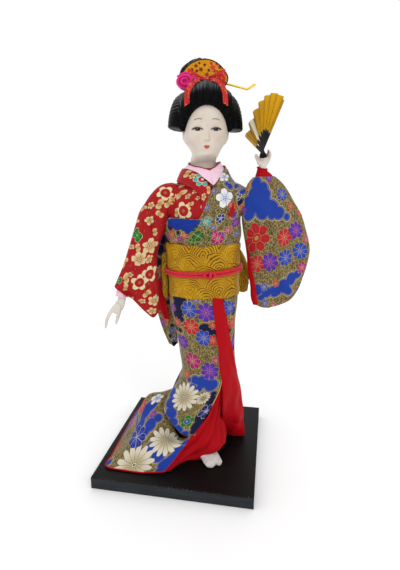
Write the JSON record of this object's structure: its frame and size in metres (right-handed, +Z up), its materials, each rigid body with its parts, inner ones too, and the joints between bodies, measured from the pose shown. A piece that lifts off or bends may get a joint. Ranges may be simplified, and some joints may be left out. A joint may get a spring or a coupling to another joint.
{
  "type": "kimono display doll",
  "caption": "Standing kimono-clad display doll on a square black board, one arm raised with a folding fan, with turning head, liftable arms and a fan that opens and closes.",
  "frame": {"origin": "centre of the board's underside", "axes": "+Z up the doll; +X to the viewer's right and +Y away from the viewer, along the board's edges"},
  "size_m": [0.1576, 0.12, 0.3083],
  "materials": {
    "board_black": "satin black painted wood, slightly worn edges",
    "wire_steel": "drawn steel wire",
    "padding_white": "wrapped cotton wadding",
    "tabi_white": "white cotton sock",
    "core_straw": "pressed straw and paper core",
    "brocade_blue": "royal blue and gold brocade with flowers",
    "brocade_gold": "khaki gold brocade with flowers",
    "silk_red": "plain red lining",
    "brocade_red": "crimson brocade with cream plum blossom",
    "silk_pink": "pink satin collar",
    "obi_gold": "yellow gold brocade with wave scales",
    "cord_red": "red twisted cord",
    "skin": "pale satin doll face and hands",
    "hair_black": "glossy black fibre hair",
    "peg_wood": "turned wood",
    "crown_gold": "stiffened gold brocade",
    "ribbon_red": "red crepe with gold flecks",
    "rose_magenta": "magenta satin ribbon",
    "pin_gold": "gilt wire",
    "fan_black": "black fan ribs",
    "fan_gold": "gold paper leaf"
  },
  "bodies": {
    "body": {"base_board": "board_black", "right_leg_rod": "wire_steel", "left_leg_rod": "wire_steel", "right_leg": "padding_white", "left_leg": "padding_white", "right_foot": "tabi_white", "left_foot": "tabi_white", "torso_core": "core_straw", "shoulder_bar": "wire_steel", "kimono_skirt": "brocade_blue", "skirt_lining_panel": "silk_red", "under_robe_hem": "silk_red", "under_kimono_bodice": "brocade_red", "outer_kimono_bodice": "brocade_gold", "inner_collar": "silk_pink", "obi_sash": "obi_gold", "obi_cord": "cord_red", "obi_bow_wings": "obi_gold", "obi_bow_band": "obi_gold", "hanging_sleeve": "brocade_blue"},
    "head": {"head": "skin", "neck_peg": "peg_wood", "hair_front_roll": "hair_black", "hair_left_wing": "hair_black", "hair_right_wing": "hair_black", "hair_back": "hair_black", "hair_bun": "hair_black", "crown_comb": "crown_gold", "ribbon_bow": "ribbon_red", "ribbon_tail_left": "ribbon_red", "ribbon_tail_right": "ribbon_red", "rose": "rose_magenta", "hairpin": "pin_gold"},
    "right_arm": {"right_arm_wire": "wire_steel", "right_arm_padding": "padding_white", "right_sleeve": "brocade_red", "right_cuff": "silk_pink"},
    "right_hand": {"right_hand": "skin"},
    "left_arm": {"left_arm_wire": "wire_steel", "left_arm_padding": "padding_white", "left_sleeve": "brocade_blue", "left_cuff": "silk_red"},
    "left_hand": {"left_hand": "skin", "fan_guard_rear": "fan_black", "fan_rivet": "pin_gold", "fan_leaf_1": "fan_gold"},
    "fan_blade_1": {"fan_rib_1": "fan_black", "fan_leaf_2": "fan_gold"},
    "fan_blade_2": {"fan_rib_2": "fan_black", "fan_leaf_3": "fan_gold"},
    "fan_blade_3": {"fan_rib_3": "fan_black", "fan_leaf_4": "fan_gold"},
    "fan_blade_4": {"fan_rib_4": "fan_black", "fan_leaf_5": "fan_gold"},
    "fan_blade_5": {"fan_rib_5": "fan_black", "fan_leaf_6": "fan_gold"},
    "fan_blade_6": {"fan_rib_6": "fan_black", "fan_leaf_7": "fan_gold"},
    "fan_blade_7": {"fan_guard_front": "fan_black"}
  },
  "joints": [
    {"name": "neck_swivel", "type": "hinge", "parent": "body", "child": "head", "pos_m": [0.01513, 0.00355, 0.231], "axis": [0, 0, 1], "range_deg": [-20, 20]},
    {"name": "right_arm_lift", "type": "hinge", "parent": "body", "child": "right_arm", "pos_m": [-0.0106, -0.00251, 0.215], "axis": [-0.1736, 0.9848, 0], "range_deg": [0, 18]},
    {"name": "right_wrist_turn", "type": "hinge", "parent": "right_arm", "child": "right_hand", "pos_m": [-0.04583, -0.01868, 0.1402], "axis": [-0.2338, -0.182, -0.9551], "range_deg": [-30, 30]},
    {"name": "left_arm_lift", "type": "hinge", "parent": "body", "child": "left_arm", "pos_m": [0.03864, 0.00617, 0.215], "axis": [0.1736, -0.9848, 0], "range_deg": [0, 8]},
    {"name": "left_wrist_turn", "type": "hinge", "parent": "left_arm", "child": "left_hand", "pos_m": [0.05688, 0.00004, 0.2305], "axis": [0.16, -0.0334, 0.9865], "range_deg": [-12, 3]},
    {"name": "fan_fold_1", "type": "hinge", "parent": "left_hand", "child": "fan_blade_1", "pos_m": [0.05868, -0.00539, 0.23934], "axis": [0.8701, 0.4893, -0.0586], "range_deg": [-14.4, 2]},
    {"name": "fan_fold_2", "type": "hinge", "parent": "fan_blade_1", "child": "fan_blade_2", "pos_m": [0.05868, -0.00539, 0.23934], "axis": [0.8701, 0.4893, -0.0586], "range_deg": [-14.4, 2]},
    {"name": "fan_fold_3", "type": "hinge", "parent": "fan_blade_2", "child": "fan_blade_3", "pos_m": [0.05868, -0.00539, 0.23934], "axis": [0.8701, 0.4893, -0.0586], "range_deg": [-14.4, 2]},
    {"name": "fan_fold_4", "type": "hinge", "parent": "fan_blade_3", "child": "fan_blade_4", "pos_m": [0.05868, -0.00539, 0.23934], "axis": [0.8701, 0.4893, -0.0586], "range_deg": [-14.4, 2]},
    {"name": "fan_fold_5", "type": "hinge", "parent": "fan_blade_4", "child": "fan_blade_5", "pos_m": [0.05868, -0.00539, 0.23934], "axis": [0.8701, 0.4893, -0.0586], "range_deg": [-14.4, 2]},
    {"name": "fan_fold_6", "type": "hinge", "parent": "fan_blade_5", "child": "fan_blade_6", "pos_m": [0.05868, -0.00539, 0.23934], "axis": [0.8701, 0.4893, -0.0586], "range_deg": [-14.4, 2]},
    {"name": "fan_fold_7", "type": "hinge", "parent": "fan_blade_6", "child": "fan_blade_7", "pos_m": [0.05868, -0.00539, 0.23934], "axis": [0.8701, 0.4893, -0.0586], "range_deg": [-14.4, 2]}
  ],
  "couplings": [
    {"joint": "fan_fold_2", "follows": "fan_fold_1", "ratio": 1},
    {"joint": "fan_fold_3", "follows": "fan_fold_1", "ratio": 1},
    {"joint": "fan_fold_4", "follows": "fan_fold_1", "ratio": 1},
    {"joint": "fan_fold_5", "follows": "fan_fold_1", "ratio": 1},
    {"joint": "fan_fold_6", "follows": "fan_fold_1", "ratio": 1},
    {"joint": "fan_fold_7", "follows": "fan_fold_1", "ratio": 1}
  ]
}
